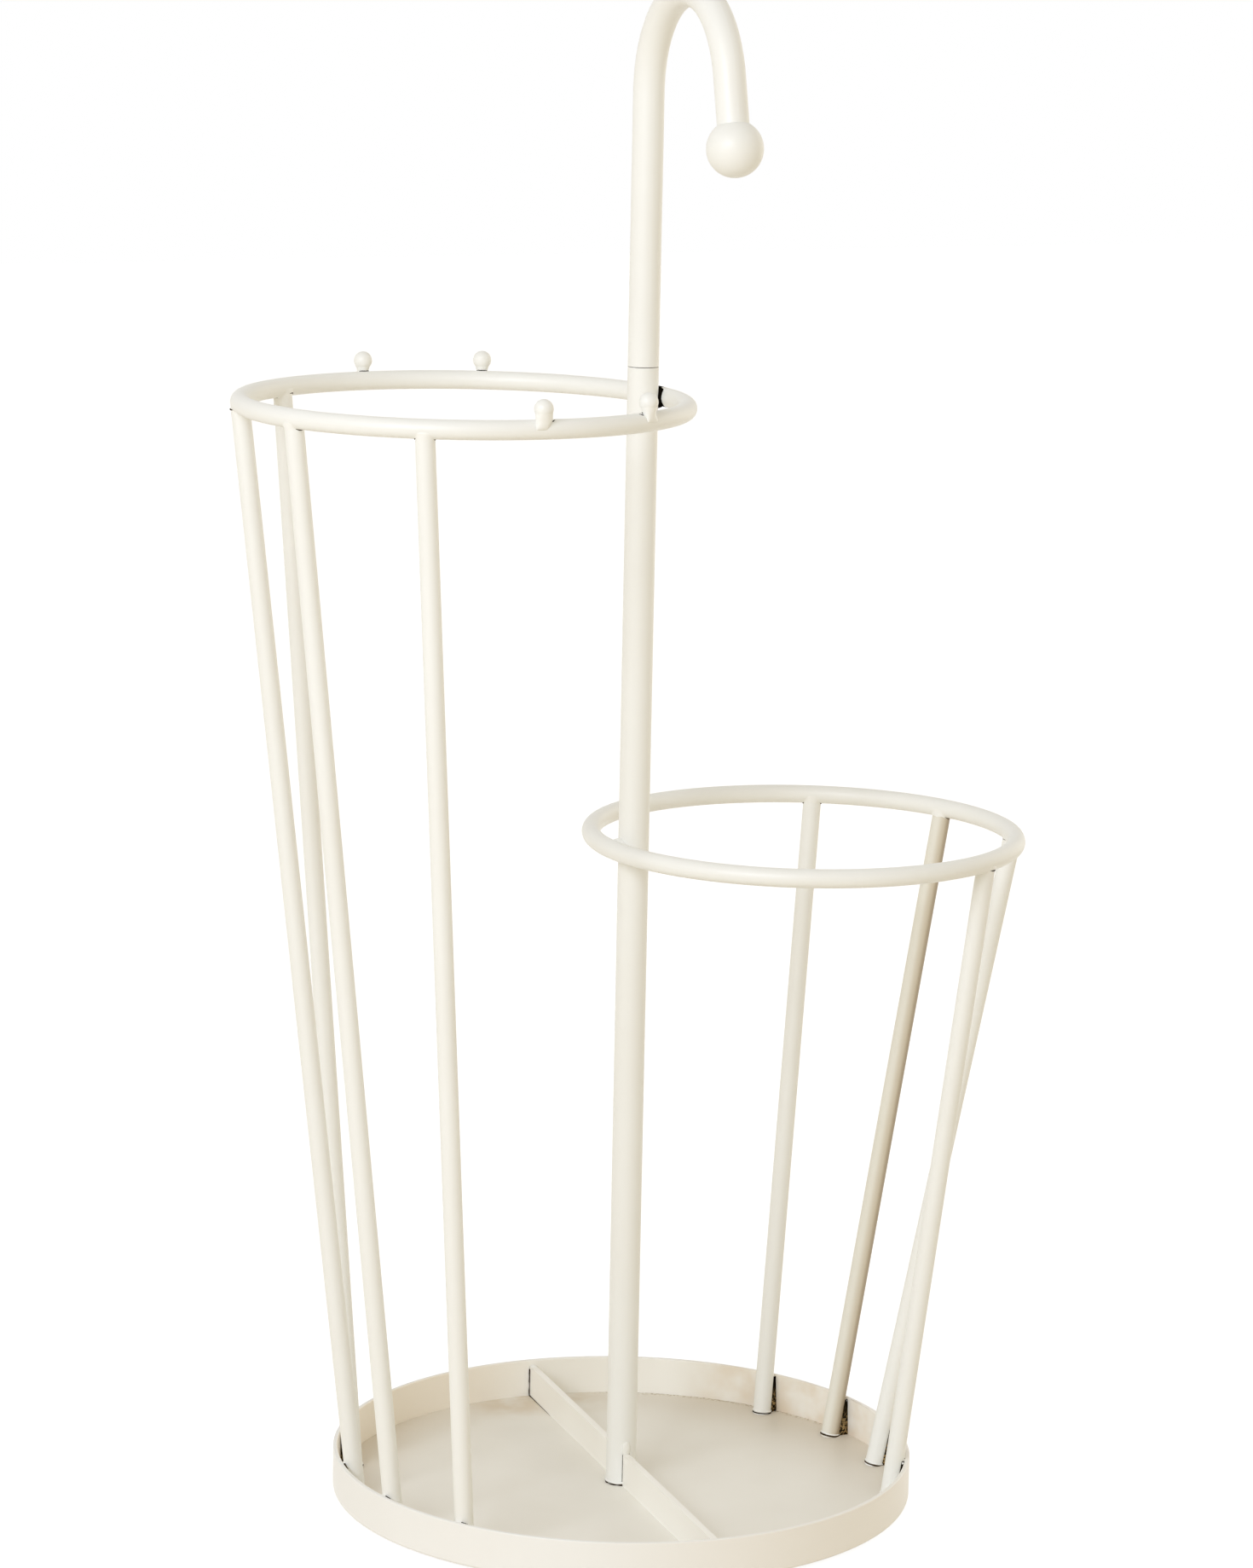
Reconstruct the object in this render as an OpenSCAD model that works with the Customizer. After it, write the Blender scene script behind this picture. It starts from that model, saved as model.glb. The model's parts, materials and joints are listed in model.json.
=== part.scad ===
// Umbrella stand: a round drip tray with a divider, a centre post with a
// screw-on hooked handle, and two round baskets, one tall and one short.
// Origin at the middle of the base, +X towards the short basket, +Z up.

/* [Tray] */
// Outer diameter of the drip tray
tray_d = 250; // [220:5:300]
// Height of the band that forms the tray's rim
rim_h = 18; // [16:1:30]
// Thickness of the rim band
rim_t = 2; // [1.5:0.5:3]
// Thickness of the floor plate
floor_t = 1.2; // [1:0.1:2]
// Radius of the rim's rounded bottom edge
rim_foot_r = 1.4; // [0.5:0.1:1.4]
// Radius of the rim's rounded top corners
rim_lip_r = 0.5; // [0.2:0.1:0.7]

/* [Divider] */
// Height of the divider bar that stands on edge across the tray
divider_h = 14; // [8:1:14]
// Thickness of the divider bar
divider_t = 3; // [2:0.5:4]
// Turn of the divider away from square to the baskets, in degrees
divider_turn = -6; // [-10:1:10]

/* [Floor pads] */
// Diameter of each pad under the tray
pad_d = 18; // [10:1:30]
// Thickness of each pad
pad_t = 1.5; // [1:0.5:4]
// Distance from the tray's outer edge to the middle of each pad
pad_inset = 25; // [20:1:60]
// Number of pads
pad_count = 4; // [3:1:8]

/* [Post] */
// Outer diameter of the post and of the handle tube
post_d = 13; // [12:0.5:16]
// Wall thickness of the post and of the handle tube
tube_wall = 1.2; // [1:0.1:1.5]
// Height of the seam where the handle screws on
seam_h = 488; // [485:1:560]
// Play on each side of the divider in the slot at the post's foot
slot_play = 0.2; // [0.1:0.1:0.5]

/* [Handle] */
// Height of the top of the handle
overall_h = 650; // [640:1:720]
// Radius of the hook's bend, to the middle of the tube
hook_r = 42; // [32:1:55]
// Sweep of the hook's bend, in degrees
hook_sweep = 166; // [150:1:180]
// Straight length from the end of the bend to the middle of the ball
hook_leg = 29; // [20:1:45]
// Turn of the hook away from square to the baskets, in degrees
hook_turn = -3; // [-180:1:180]
// Diameter of the ball at the hook's tip
ball_d = 23; // [20:0.5:30]
// Distance from the ball's middle to the seat of its socket
ball_seat = 3; // [1:0.5:5]

/* [Screw joint] */
// Diameter of the threaded stud
stud_d = 6; // [5:0.5:8]
// Length of the stud below the seam
stud_down = 11.5; // [8:0.5:14]
// Length of the stud above the seam
stud_up = 13; // [8:0.5:14]
// Length of each threaded plug in the tubes
plug_len = 18; // [16:1:30]
// Chamfer at each end of the stud
stud_chamfer = 0.8; // [0.3:0.1:1.2]

/* [Baskets] */
// Outer diameter of both rings
ring_d = 191; // [170:1:200]
// Diameter of the bar that the rings are bent from
ring_bar_d = 8; // [7:0.5:10]
// Height of the middle of the tall basket's ring
tall_ring_h = 475; // [420:1:475]
// Height of the middle of the short basket's ring
short_ring_h = 284; // [200:1:380]
// Diameter of the upright rods
rod_d = 8; // [6:0.5:9]
// Angle between neighbouring rods where they pass the rim, in degrees
rod_foot_step = 21; // [16:1:26]
// Angle between neighbouring rods round the tall ring, in degrees
tall_top_step = 38; // [30:1:44]
// Angle between neighbouring rods round the short ring, in degrees
short_top_step = 40; // [30:1:44]
// Height by which each rod's end rides up over the ring's lowest line
cope_depth = 1.5; // [1:0.1:2]
// Radius of the weld bead between each ring and the post
weld_r = 4.5; // [3:0.5:5]

/* [Pegs] */
// Angle of the inner pegs from the post, round the tall ring, in degrees
peg_inner_turn = 62; // [50:1:75]
// Angle of the outer pegs from the post, round the tall ring, in degrees
peg_outer_turn = 94; // [85:1:110]
// Height of the peg ball's middle above the middle of the ring's bar
peg_rise = 8.4; // [8:0.1:12]
// Distance of the peg's axis outside the middle of the ring's bar
peg_out = 2.3; // [1.8:0.1:2.6]
// Diameter of a peg's ball
peg_ball_d = 7.8; // [7:0.1:8.5]
// Diameter of a peg's tapered neck where it ends inside the ring's bar
peg_foot_d = 2.6; // [2:0.1:3]
// Height of the lower end of a peg's neck above the middle of the ring's bar
peg_foot = 0.8; // [0.5:0.1:1.5]
// Diameter that a peg's neck would reach at the ball's middle
peg_taper_d = 7.6; // [6:0.1:7.7]

/* [Clearances] */
// Gap between pieces that are welded or pressed together
fit_gap = 0.05; // [0.02:0.01:0.1]
// Radial running clearance of the stud in its plugs
thread_play = 0.05; // [0.03:0.01:0.1]
// Open line left at the seam between post and handle
seam_gap = 0.3; // [0.2:0.1:0.6]
// Gap between a rod and the rim's inner edge, closed by the weld
rod_gap = 0.2; // [0.1:0.1:0.5]

/* [Hidden] */
$fn = 64;
tray_r = tray_d / 2;
rim_inner_r = tray_r - rim_t;
floor_z = pad_t + floor_t;
rim_top_z = pad_t + rim_h;
pad_ring_r = tray_r - pad_inset;

post_r = post_d / 2;
tube_bore_r = post_r - tube_wall;
slot_w = divider_t + 2 * slot_play;
divider_top_z = floor_z + divider_h;
divider_len = 2 * sqrt(pow(rim_inner_r, 2) - pow(divider_t / 2, 2)) - 2 * rod_gap;

handle_z = seam_h + seam_gap;
bend_z = overall_h - hook_r - post_r;
ball_r = ball_d / 2;
plug_r = tube_bore_r - fit_gap;
thread_bore_r = stud_d / 2 + thread_play;

bar_r = ring_bar_d / 2;
ring_r = ring_d / 2 - bar_r;
ring_off = ring_r - bar_r - post_r - fit_gap;
rod_r = rod_d / 2;
gate_r = rim_inner_r - rod_r - rod_gap;

// Each basket: direction of its ring's middle from the post, ring height and rod step
TALL = [180, tall_ring_h, tall_top_step];
SHORT = [0, short_ring_h, short_top_step];

// Middle of a basket's ring
function ring_centre(b) = [ring_off * cos(b[0]), ring_off * sin(b[0]), b[1]];

// Offsets of the four rods, counted in half steps from the basket's middle line
function rod_turn(i) = 2 * i - 5;

// Point where rod i of a basket passes the rim's top edge
function rod_gate(b, i) =
    let (a = b[0] + rod_turn(i) * rod_foot_step / 2)
    [gate_r * cos(a), gate_r * sin(a), rim_top_z];

// Point where rod i of a basket meets the middle of the ring's bar
function rod_head(b, i) =
    let (a = b[0] + rod_turn(i) * b[2] / 2)
    ring_centre(b) + [ring_r * cos(a), ring_r * sin(a), 0];

// Cylinder of radius r whose axis runs through p and q, longer than both by extra
module bar_through(p, q, r, extra) {
    v = q - p;
    translate(p)
        rotate([0, acos(v[2] / norm(v)), atan2(v[1], v[0])])
            rotate([0, 0, 90])
                translate([0, 0, -extra])
                    cylinder(r = r, h = norm(v) + 2 * extra);
}

// Bar bent into a full ring, its ends meeting at the post
module ring_bar(b) {
    translate(ring_centre(b))
        rotate([0, 0, b[0] + 150])
            rotate_extrude($fn = 256)
                translate([ring_r, 0])
                    circle(r = bar_r);
}

// One upright rod: it stands on the tray's floor and its top is coped to the ring
module rod(b, i) {
    spare = 2 * rim_h;
    difference() {
        bar_through(rod_gate(b, i), rod_head(b, i), rod_r, spare);
        translate([-tray_d, -tray_d, floor_z - 2 * spare])
            cube([2 * tray_d, 2 * tray_d, 2 * spare]);
        translate([-tray_d, -tray_d, b[1] - bar_r + cope_depth])
            cube([2 * tray_d, 2 * tray_d, 2 * spare]);
        ring_bar(b);
    }
}

// One peg at angle a round the tall ring: a ball whose tapered neck sits on the bar's outer top
module peg(a) {
    difference() {
        translate(ring_centre(TALL))
            rotate([0, 0, a])
                translate([ring_r + peg_out, 0, 0])
                    union() {
                        translate([0, 0, peg_foot])
                            cylinder(d1 = peg_foot_d, d2 = peg_taper_d, h = peg_rise - peg_foot);
                        translate([0, 0, peg_rise])
                            sphere(d = peg_ball_d);
                    }
        ring_bar(TALL);
    }
}

// Weld bead that fills the crevice where a ring passes the post
module ring_weld(b) {
    $fn = 96;
    difference() {
        translate([-post_r * cos(b[0]), -post_r * sin(b[0]), b[1]])
            sphere(r = weld_r);
        cylinder(r = post_r, h = overall_h);
        ring_bar(b);
    }
}

// Puts its children in the plane of the bend, with the bend's middle at the origin
module bend_frame() {
    translate([hook_r, 0, bend_z])
        rotate([90, 0, 0])
            children();
}

// Puts its children at the end of the bend, with +Z along the straight leg
module leg_frame() {
    bend_frame()
        rotate([0, 0, 180 - hook_sweep])
            translate([hook_r, 0, 0])
                rotate([90, 0, 0])
                    children();
}

// Half a ring cut off at the end of the bend, of radius r round its middle line
module bend(r) {
    bend_frame()
        difference() {
            rotate_extrude(angle = 180, $fn = 128)
                translate([hook_r, 0])
                    circle(r = r);
            rotate([0, 0, 180 - hook_sweep])
                translate([0, -2 * hook_r, -post_d])
                    cube([2 * hook_r, 2 * hook_r, 2 * post_d]);
        }
}

// Upright, bend and leg of the handle with a round section of radius r
module hook_bar(r) {
    translate([0, 0, handle_z])
        cylinder(r = r, h = bend_z - handle_z);
    bend(r);
    leg_frame()
        cylinder(r = r, h = hook_leg - ball_seat);
}

// Turns its children from the +X direction to the hook's direction
module to_hook() {
    rotate([0, 0, hook_turn - 90])
        children();
}

module floor_pads() {
    color("dimgray")
        for (i = [0 : pad_count - 1])
            rotate([0, 0, (i + 0.5) * 360 / pad_count])
                translate([pad_ring_r, 0, 0])
                    cylinder(d = pad_d, h = pad_t);
}

module tray_floor() {
    color("linen")
        translate([0, 0, pad_t])
            cylinder(r = rim_inner_r - fit_gap, h = floor_t, $fn = 128);
}

module tray_rim() {
    color("linen")
        translate([0, 0, pad_t])
            rotate_extrude($fn = 128)
                rim_section();
}

// Section of the rim band: rounded outside at the foot and on both corners at the lip
module rim_section() {
    lip_z = rim_h - rim_lip_r;
    intersection() {
        translate([rim_inner_r, 0])
            square([rim_t, rim_h]);
        union() {
            translate([rim_inner_r, 0])
                square([rim_t - rim_foot_r, rim_foot_r]);
            translate([tray_r - rim_foot_r, rim_foot_r])
                circle(r = rim_foot_r);
            translate([rim_inner_r, rim_foot_r])
                square([rim_t, lip_z - rim_foot_r]);
            translate([rim_inner_r + rim_lip_r, lip_z])
                square([rim_t - 2 * rim_lip_r, rim_lip_r]);
            for (x = [rim_inner_r + rim_lip_r, tray_r - rim_lip_r])
                translate([x, lip_z])
                    circle(r = rim_lip_r);
        }
    }
}

module divider_bar() {
    color("linen")
        rotate([0, 0, divider_turn])
            translate([-divider_t / 2, -divider_len / 2, floor_z])
                cube([divider_t, divider_len, divider_h]);
}

module centre_post() {
    color("linen")
        difference() {
            translate([0, 0, floor_z])
                cylinder(r = post_r, h = seam_h - floor_z);
            cylinder(r = tube_bore_r, h = overall_h);
            rotate([0, 0, divider_turn])
                translate([-slot_w / 2, -post_d, 0])
                    cube([slot_w, 2 * post_d, divider_top_z + slot_play]);
        }
}

module post_plug() {
    color("silver")
        difference() {
            translate([0, 0, seam_h - plug_len])
                cylinder(r = plug_r, h = plug_len);
            cylinder(r = thread_bore_r, h = overall_h);
        }
}

module handle_stud() {
    stud_r = stud_d / 2;
    tip_r = stud_r - stud_chamfer;
    shank = stud_down + stud_up - 2 * stud_chamfer;
    color("silver")
        translate([0, 0, seam_h - stud_down]) {
            cylinder(r1 = tip_r, r2 = stud_r, h = stud_chamfer);
            translate([0, 0, stud_chamfer])
                cylinder(r = stud_r, h = shank);
            translate([0, 0, stud_chamfer + shank])
                cylinder(r1 = stud_r, r2 = tip_r, h = stud_chamfer);
        }
}

module handle_plug() {
    color("silver")
        difference() {
            translate([0, 0, handle_z])
                cylinder(r = plug_r, h = plug_len);
            translate([0, 0, seam_h])
                cylinder(r = thread_bore_r, h = stud_up + seam_gap);
        }
}

module handle_tube() {
    color("ivory")
        to_hook()
            difference() {
                hook_bar(post_r);
                hook_bar(tube_bore_r);
            }
}

module handle_ball() {
    color("ivory")
        to_hook()
            leg_frame()
                translate([0, 0, hook_leg])
                    difference() {
                        sphere(r = ball_r);
                        translate([0, 0, -ball_d])
                            cylinder(r = post_r + fit_gap, h = ball_d - ball_seat + fit_gap);
                    }
}

module tall_ring() {
    color("linen")
        ring_bar(TALL);
}

module short_ring() {
    color("linen")
        ring_bar(SHORT);
}

module tall_rod(i) {
    color("linen")
        rod(TALL, i);
}

module short_rod(i) {
    color("linen")
        rod(SHORT, i);
}

module ball_peg(a) {
    color("ivory")
        peg(a);
}

module tall_ring_weld() {
    color("dimgray")
        ring_weld(TALL);
}

module short_ring_weld() {
    color("linen")
        ring_weld(SHORT);
}

floor_pads();
tray_floor();
tray_rim();
divider_bar();
centre_post();
post_plug();
handle_stud();
handle_plug();
handle_tube();
handle_ball();
tall_ring();
tall_rod(1);  // tall_rod_1
tall_rod(2);  // tall_rod_2
tall_rod(3);  // tall_rod_3
tall_rod(4);  // tall_rod_4
short_ring();
short_rod(1);  // short_rod_1
short_rod(2);  // short_rod_2
short_rod(3);  // short_rod_3
short_rod(4);  // short_rod_4
ball_peg(peg_inner_turn);  // peg_1
ball_peg(peg_outer_turn);  // peg_2
ball_peg(-peg_outer_turn);  // peg_3
ball_peg(-peg_inner_turn);  // peg_4
tall_ring_weld();
short_ring_weld();
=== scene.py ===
import json
import math

import bpy
import numpy as np
from mathutils import Matrix, Vector, noise


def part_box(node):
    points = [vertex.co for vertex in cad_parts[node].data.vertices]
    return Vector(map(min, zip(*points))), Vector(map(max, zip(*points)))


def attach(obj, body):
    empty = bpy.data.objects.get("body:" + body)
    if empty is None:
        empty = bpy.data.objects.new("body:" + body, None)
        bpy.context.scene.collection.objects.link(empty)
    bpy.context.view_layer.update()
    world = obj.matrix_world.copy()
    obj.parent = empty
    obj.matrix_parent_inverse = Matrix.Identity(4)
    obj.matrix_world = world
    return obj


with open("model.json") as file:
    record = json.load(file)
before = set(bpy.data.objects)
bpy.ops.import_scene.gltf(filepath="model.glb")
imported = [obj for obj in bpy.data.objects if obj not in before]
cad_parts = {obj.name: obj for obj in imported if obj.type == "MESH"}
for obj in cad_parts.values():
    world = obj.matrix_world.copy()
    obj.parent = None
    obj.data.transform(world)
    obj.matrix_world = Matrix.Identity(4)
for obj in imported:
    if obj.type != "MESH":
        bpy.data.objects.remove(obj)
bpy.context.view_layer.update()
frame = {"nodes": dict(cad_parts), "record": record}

MM = 0.001
UP = Vector((0.0, 0.0, 1.0))

scene = bpy.context.scene
scene.view_settings.view_transform = "Standard"

# ---------------------------------------------------------------- camera
TURN = 25.58                    # degrees from the picture's right to the stand's +X
CAMERA_DISTANCE = 1.9935        # metres, level, from the post's axis
CAMERA_HEIGHT = 0.6956          # metres
CAMERA_YAW = math.radians(-0.101)
CAMERA_DIP = math.radians(10.913)
CAMERA_ROLL = math.radians(1.147)
SENSOR_WIDTH = 36.0             # mm
LENS = 110.2904                 # mm


def camera_axes(yaw, dip, roll):
    """Right, up and backward directions of a camera that looks along +Y when its angles are 0."""
    right = Vector((math.cos(yaw), -math.sin(yaw), 0.0))
    ahead = Vector((math.sin(yaw) * math.cos(dip), math.cos(yaw) * math.cos(dip), -math.sin(dip)))
    up = right.cross(ahead)
    rolled_right = right * math.cos(roll) + up * math.sin(roll)
    rolled_up = up * math.cos(roll) - right * math.sin(roll)
    return rolled_right, rolled_up, -ahead


def add_camera():
    place = Matrix(camera_axes(CAMERA_YAW, CAMERA_DIP, CAMERA_ROLL)).transposed().to_4x4()
    place.translation = Vector((0.0, -CAMERA_DISTANCE, CAMERA_HEIGHT))
    data = bpy.data.cameras.new("camera")
    data.sensor_width = SENSOR_WIDTH
    data.lens = LENS
    data.clip_end = 50.0
    camera = bpy.data.objects.new("camera", data)
    camera.matrix_world = Matrix.Rotation(-math.radians(TURN), 4, "Z") @ place
    scene.collection.objects.link(camera)
    scene.camera = camera


add_camera()


# ---------------------------------------------------------------- studio
LAMP_DISTANCE = 2.3             # metres
LAMP_TARGET = Vector((0.0, 0.0, 0.30))
HORIZON_FILL = (0.735, 0.640, 0.455)
ZENITH_FILL = (0.515, 0.482, 0.430)
FLOOR_HALF = 6.0                # metres
FLOOR_DROP = 0.4 * MM           # keeps the studio floor clear of the pads
FLOOR_PALE = (0.88, 0.815, 0.69)
FLOOR_SHADED = (0.34, 0.34, 0.34)
FLOOR_GLOW = 0.88


def view_dir(azimuth, elevation):
    """Direction from the stand; azimuth is counted to the viewer's right from straight at the viewer."""
    level = Matrix.Rotation(math.radians(azimuth - TURN), 3, "Z") @ Vector((0, -1, 0))
    rise = math.radians(elevation)
    return Vector((level.x * math.cos(rise), level.y * math.cos(rise), math.sin(rise)))


LEFT, RIGHT = view_dir(-90, 0), view_dir(90, 0)
NEAR_LEFT, NEAR_RIGHT = view_dir(-55, 0), view_dir(55, 0)


def area_light(name, direction, size, watts, colour):
    data = bpy.data.lights.new(name, "AREA")
    data.shape = "RECTANGLE"
    data.size, data.size_y = size
    data.energy = watts
    data.color = colour
    lamp = bpy.data.objects.new(name, data)
    lamp.location = LAMP_TARGET + direction * LAMP_DISTANCE
    lamp.rotation_euler = (lamp.location - LAMP_TARGET).to_track_quat("Z", "Y").to_euler()
    lamp.visible_camera = False
    scene.collection.objects.link(lamp)


def nodes_of(owner):
    """Nodes and links of a material's or world's tree, once it is emptied."""
    owner.use_nodes = True
    tree = owner.node_tree
    tree.nodes.clear()
    return tree.nodes, tree.links


def math_node(nodes, links, operation, first, second):
    step = nodes.new("ShaderNodeMath")
    step.operation = operation
    links.new(first, step.inputs[0])
    links.new(second, step.inputs[1])
    return step.outputs[0]


def backdrop_ray(nodes, links):
    """1 for rays that show the backdrop: camera, glossy and transmission rays."""
    rays = nodes.new("ShaderNodeLightPath").outputs
    seen = math_node(nodes, links, "MAXIMUM", rays["Is Camera Ray"], rays["Is Glossy Ray"])
    return math_node(nodes, links, "MAXIMUM", seen, rays["Is Transmission Ray"])


def mix_by_ray(nodes, links, usual, backdrop, surface):
    """Link one shader for the rays that light the stand and another for those that show the backdrop."""
    mix = nodes.new("ShaderNodeMixShader")
    links.new(backdrop_ray(nodes, links), mix.inputs[0])
    links.new(usual.outputs[0], mix.inputs[1])
    links.new(backdrop.outputs[0], mix.inputs[2])
    links.new(mix.outputs[0], surface)


def add_world():
    """Warm fill all round, and a white room for the rays that show it."""
    world = bpy.data.worlds.new("studio")
    nodes, links = nodes_of(world)
    out = nodes.new("ShaderNodeOutputWorld")
    coord = nodes.new("ShaderNodeTexCoord")
    split = nodes.new("ShaderNodeSeparateXYZ")
    height = nodes.new("ShaderNodeMix")
    height.data_type = "RGBA"
    height.inputs["A"].default_value = (*HORIZON_FILL, 1)
    height.inputs["B"].default_value = (*ZENITH_FILL, 1)
    fill = nodes.new("ShaderNodeBackground")
    white = nodes.new("ShaderNodeBackground")
    white.inputs["Color"].default_value = (1, 1, 1, 1)
    links.new(coord.outputs["Generated"], split.inputs[0])
    links.new(split.outputs["Z"], height.inputs["Factor"])
    links.new(height.outputs["Result"], fill.inputs["Color"])
    mix_by_ray(nodes, links, fill, white, out.inputs["Surface"])
    scene.world = world


def floor_white():
    """Pale for the light it throws on the stand, and white with soft shadows for the rays that show it."""
    mat = bpy.data.materials.new("floor_white")
    nodes, links = nodes_of(mat)
    out = nodes.new("ShaderNodeOutputMaterial")
    pale = nodes.new("ShaderNodeBsdfDiffuse")
    pale.inputs["Color"].default_value = (*FLOOR_PALE, 1)
    shaded = nodes.new("ShaderNodeBsdfDiffuse")
    shaded.inputs["Color"].default_value = (*FLOOR_SHADED, 1)
    glow = nodes.new("ShaderNodeEmission")
    glow.inputs["Strength"].default_value = FLOOR_GLOW
    both = nodes.new("ShaderNodeAddShader")
    links.new(shaded.outputs[0], both.inputs[0])
    links.new(glow.outputs[0], both.inputs[1])
    mix_by_ray(nodes, links, pale, both, out.inputs["Surface"])
    return mat


def add_floor():
    """Pale floor that ends in the white backdrop and keeps the stand's soft shadow."""
    half = FLOOR_HALF
    corners = [(-half, -half, 0), (half, -half, 0), (half, half, 0), (-half, half, 0)]
    mesh = bpy.data.meshes.new("floor")
    mesh.from_pydata(corners, [], [(0, 1, 2, 3)])
    mesh.materials.append(floor_white())
    floor = bpy.data.objects.new("floor", mesh)
    floor.location.z = -FLOOR_DROP
    scene.collection.objects.link(floor)


area_light("key", view_dir(-28, 26), size=(1.2, 1.0), watts=23.6, colour=(0.925, 1.0, 1.16))
area_light("rim", view_dir(128, 10), size=(2.2, 1.6), watts=10.0, colour=(1.0, 0.98, 0.94))
add_world()
add_floor()


# ---------------------------------------------------------------- measures read from the frame
SEAT_GAP = 0.05 * MM            # between the floor plate and the rim's band
FLOOR_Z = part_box("tray_floor")[1].z
RIM_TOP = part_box("tray_rim")[1].z
RIM_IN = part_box("tray_floor")[1].x + SEAT_GAP
POST_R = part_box("centre_post")[1].x


def node_points(node):
    return np.array([vertex.co for vertex in frame["nodes"][node].data.vertices], float)


def divider_run():
    """Level direction from the divider's middle to its back end."""
    flat = node_points("divider_bar")[:, :2]
    run = Vector((*np.linalg.svd(flat - flat.mean(0))[2][0], 0.0))
    return -run if run.y < 0 else run


RUN = divider_run()
FACE = UP.cross(RUN)            # square to the divider's face on the viewer's left
BAR_LEN = float(np.abs(node_points("divider_bar") @ np.array(RUN)).max())
BAR_HALF = float(np.abs(node_points("divider_bar") @ np.array(FACE)).max())
BAR_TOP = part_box("divider_bar")[1].z


class Ring:
    """A basket's ring: middle, radius to the middle of the bar, and the bar's radius."""

    def __init__(self, node):
        low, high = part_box(node)
        self.mid = (low + high) / 2
        self.bar = (high.z - low.z) / 2
        self.r = (high.y - low.y) / 2 - self.bar

    def core(self, point):
        """Nearest point on the bar's middle line."""
        out = Vector((point.x - self.mid.x, point.y - self.mid.y, 0.0)).normalized()
        return self.mid + out * self.r

    def on(self, point):
        """Nearest point on the bar's surface, and the outward normal there."""
        core = self.core(point)
        normal = (point - core).normalized()
        return core + normal * self.bar, normal

    def away(self, point):
        """Distance outside the bar's surface."""
        return (point - self.core(point)).length - self.bar


FIT_ROUNDS = 8
FIT_REACH = 0.35 * MM           # points farther off than this belong to the rod's ends
FIT_NUDGE = 1e-7


def fit_rod(points, base, guess):
    """Least squares fit of a round rod: x and y at the base, slopes of x and y, and radius."""

    def miss(values):
        direction = np.array([values[2], values[3], 1.0])
        direction /= np.linalg.norm(direction)
        offset = points - np.array([values[0], values[1], base])
        return np.linalg.norm(offset - np.outer(offset @ direction, direction), axis=1) - values[4]

    values = guess
    for _ in range(FIT_ROUNDS):
        error = miss(values)
        used = np.abs(error) < FIT_REACH
        slopes = np.empty((used.sum(), len(values)))
        for column in range(len(values)):
            moved = values.copy()
            moved[column] += FIT_NUDGE
            slopes[:, column] = (miss(moved)[used] - error[used]) / FIT_NUDGE
        values = values - np.linalg.lstsq(slopes, error[used], rcond=None)[0]
    return values


class Rod:
    """A straight round rod: a point at its foot, its direction and its radius, fitted to the CAD node."""

    def __init__(self, node, ring):
        low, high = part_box(node)
        points = node_points(node)
        sole = points[points[:, 2] < low.z + 0.01 * MM]
        foot = (sole.min(0) + sole.max(0)) / 2
        head = ring.core(Vector(points[points[:, 2] > high.z - 2 * MM].mean(0)))
        slope = (np.array(head) - foot)[:2] / (head.z - foot[2])
        fit = fit_rod(points, low.z, np.array([foot[0], foot[1], *slope, ring.bar]))
        self.foot = Vector((fit[0], fit[1], low.z))
        self.dir = Vector((fit[2], fit[3], 1.0)).normalized()
        self.r = float(fit[4])
        self.top = high.z

    def at(self, z):
        """Point on the rod's axis at that height."""
        return self.foot + self.dir * ((z - self.foot.z) / self.dir.z)

    def square(self, direction):
        """The direction turned square to the rod."""
        return (direction - self.dir * direction.dot(self.dir)).normalized()


TALL_RING = Ring("tall_ring")


def all_rods():
    """Every rod by its node's name, with the ring it is welded to."""
    rods = {}
    for basket, ring in (("short", Ring("short_ring")), ("tall", TALL_RING)):
        for number in range(1, 5):
            name = "%s_rod_%d" % (basket, number)
            rods[name] = (Rod(name, ring), ring)
    return rods


RODS = all_rods()


# ---------------------------------------------------------------- materials
COAT_ROUGH = 0.32
DRIFT_SCALE = 14.0              # of the slow colour drift, per metre
PEEL_SHARE = 0.3                # the orange peel's scale as a share of the grain's
ROUGH_SPREAD = 0.06
PEEL_DEPTH = 0.2 * MM


def ramp_node(nodes, low, high, start, end):
    ramp = nodes.new("ShaderNodeValToRGB")
    first, last = ramp.color_ramp.elements
    first.position, last.position = start, end
    first.color, last.color = (*low, 1), (*high, 1)
    return ramp


def noise_node(nodes, links, coord, scale, detail):
    texture = nodes.new("ShaderNodeTexNoise")
    texture.inputs["Scale"].default_value = scale
    texture.inputs["Detail"].default_value = detail
    links.new(coord.outputs["Object"], texture.inputs["Vector"])
    return texture.outputs["Fac"]


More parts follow.
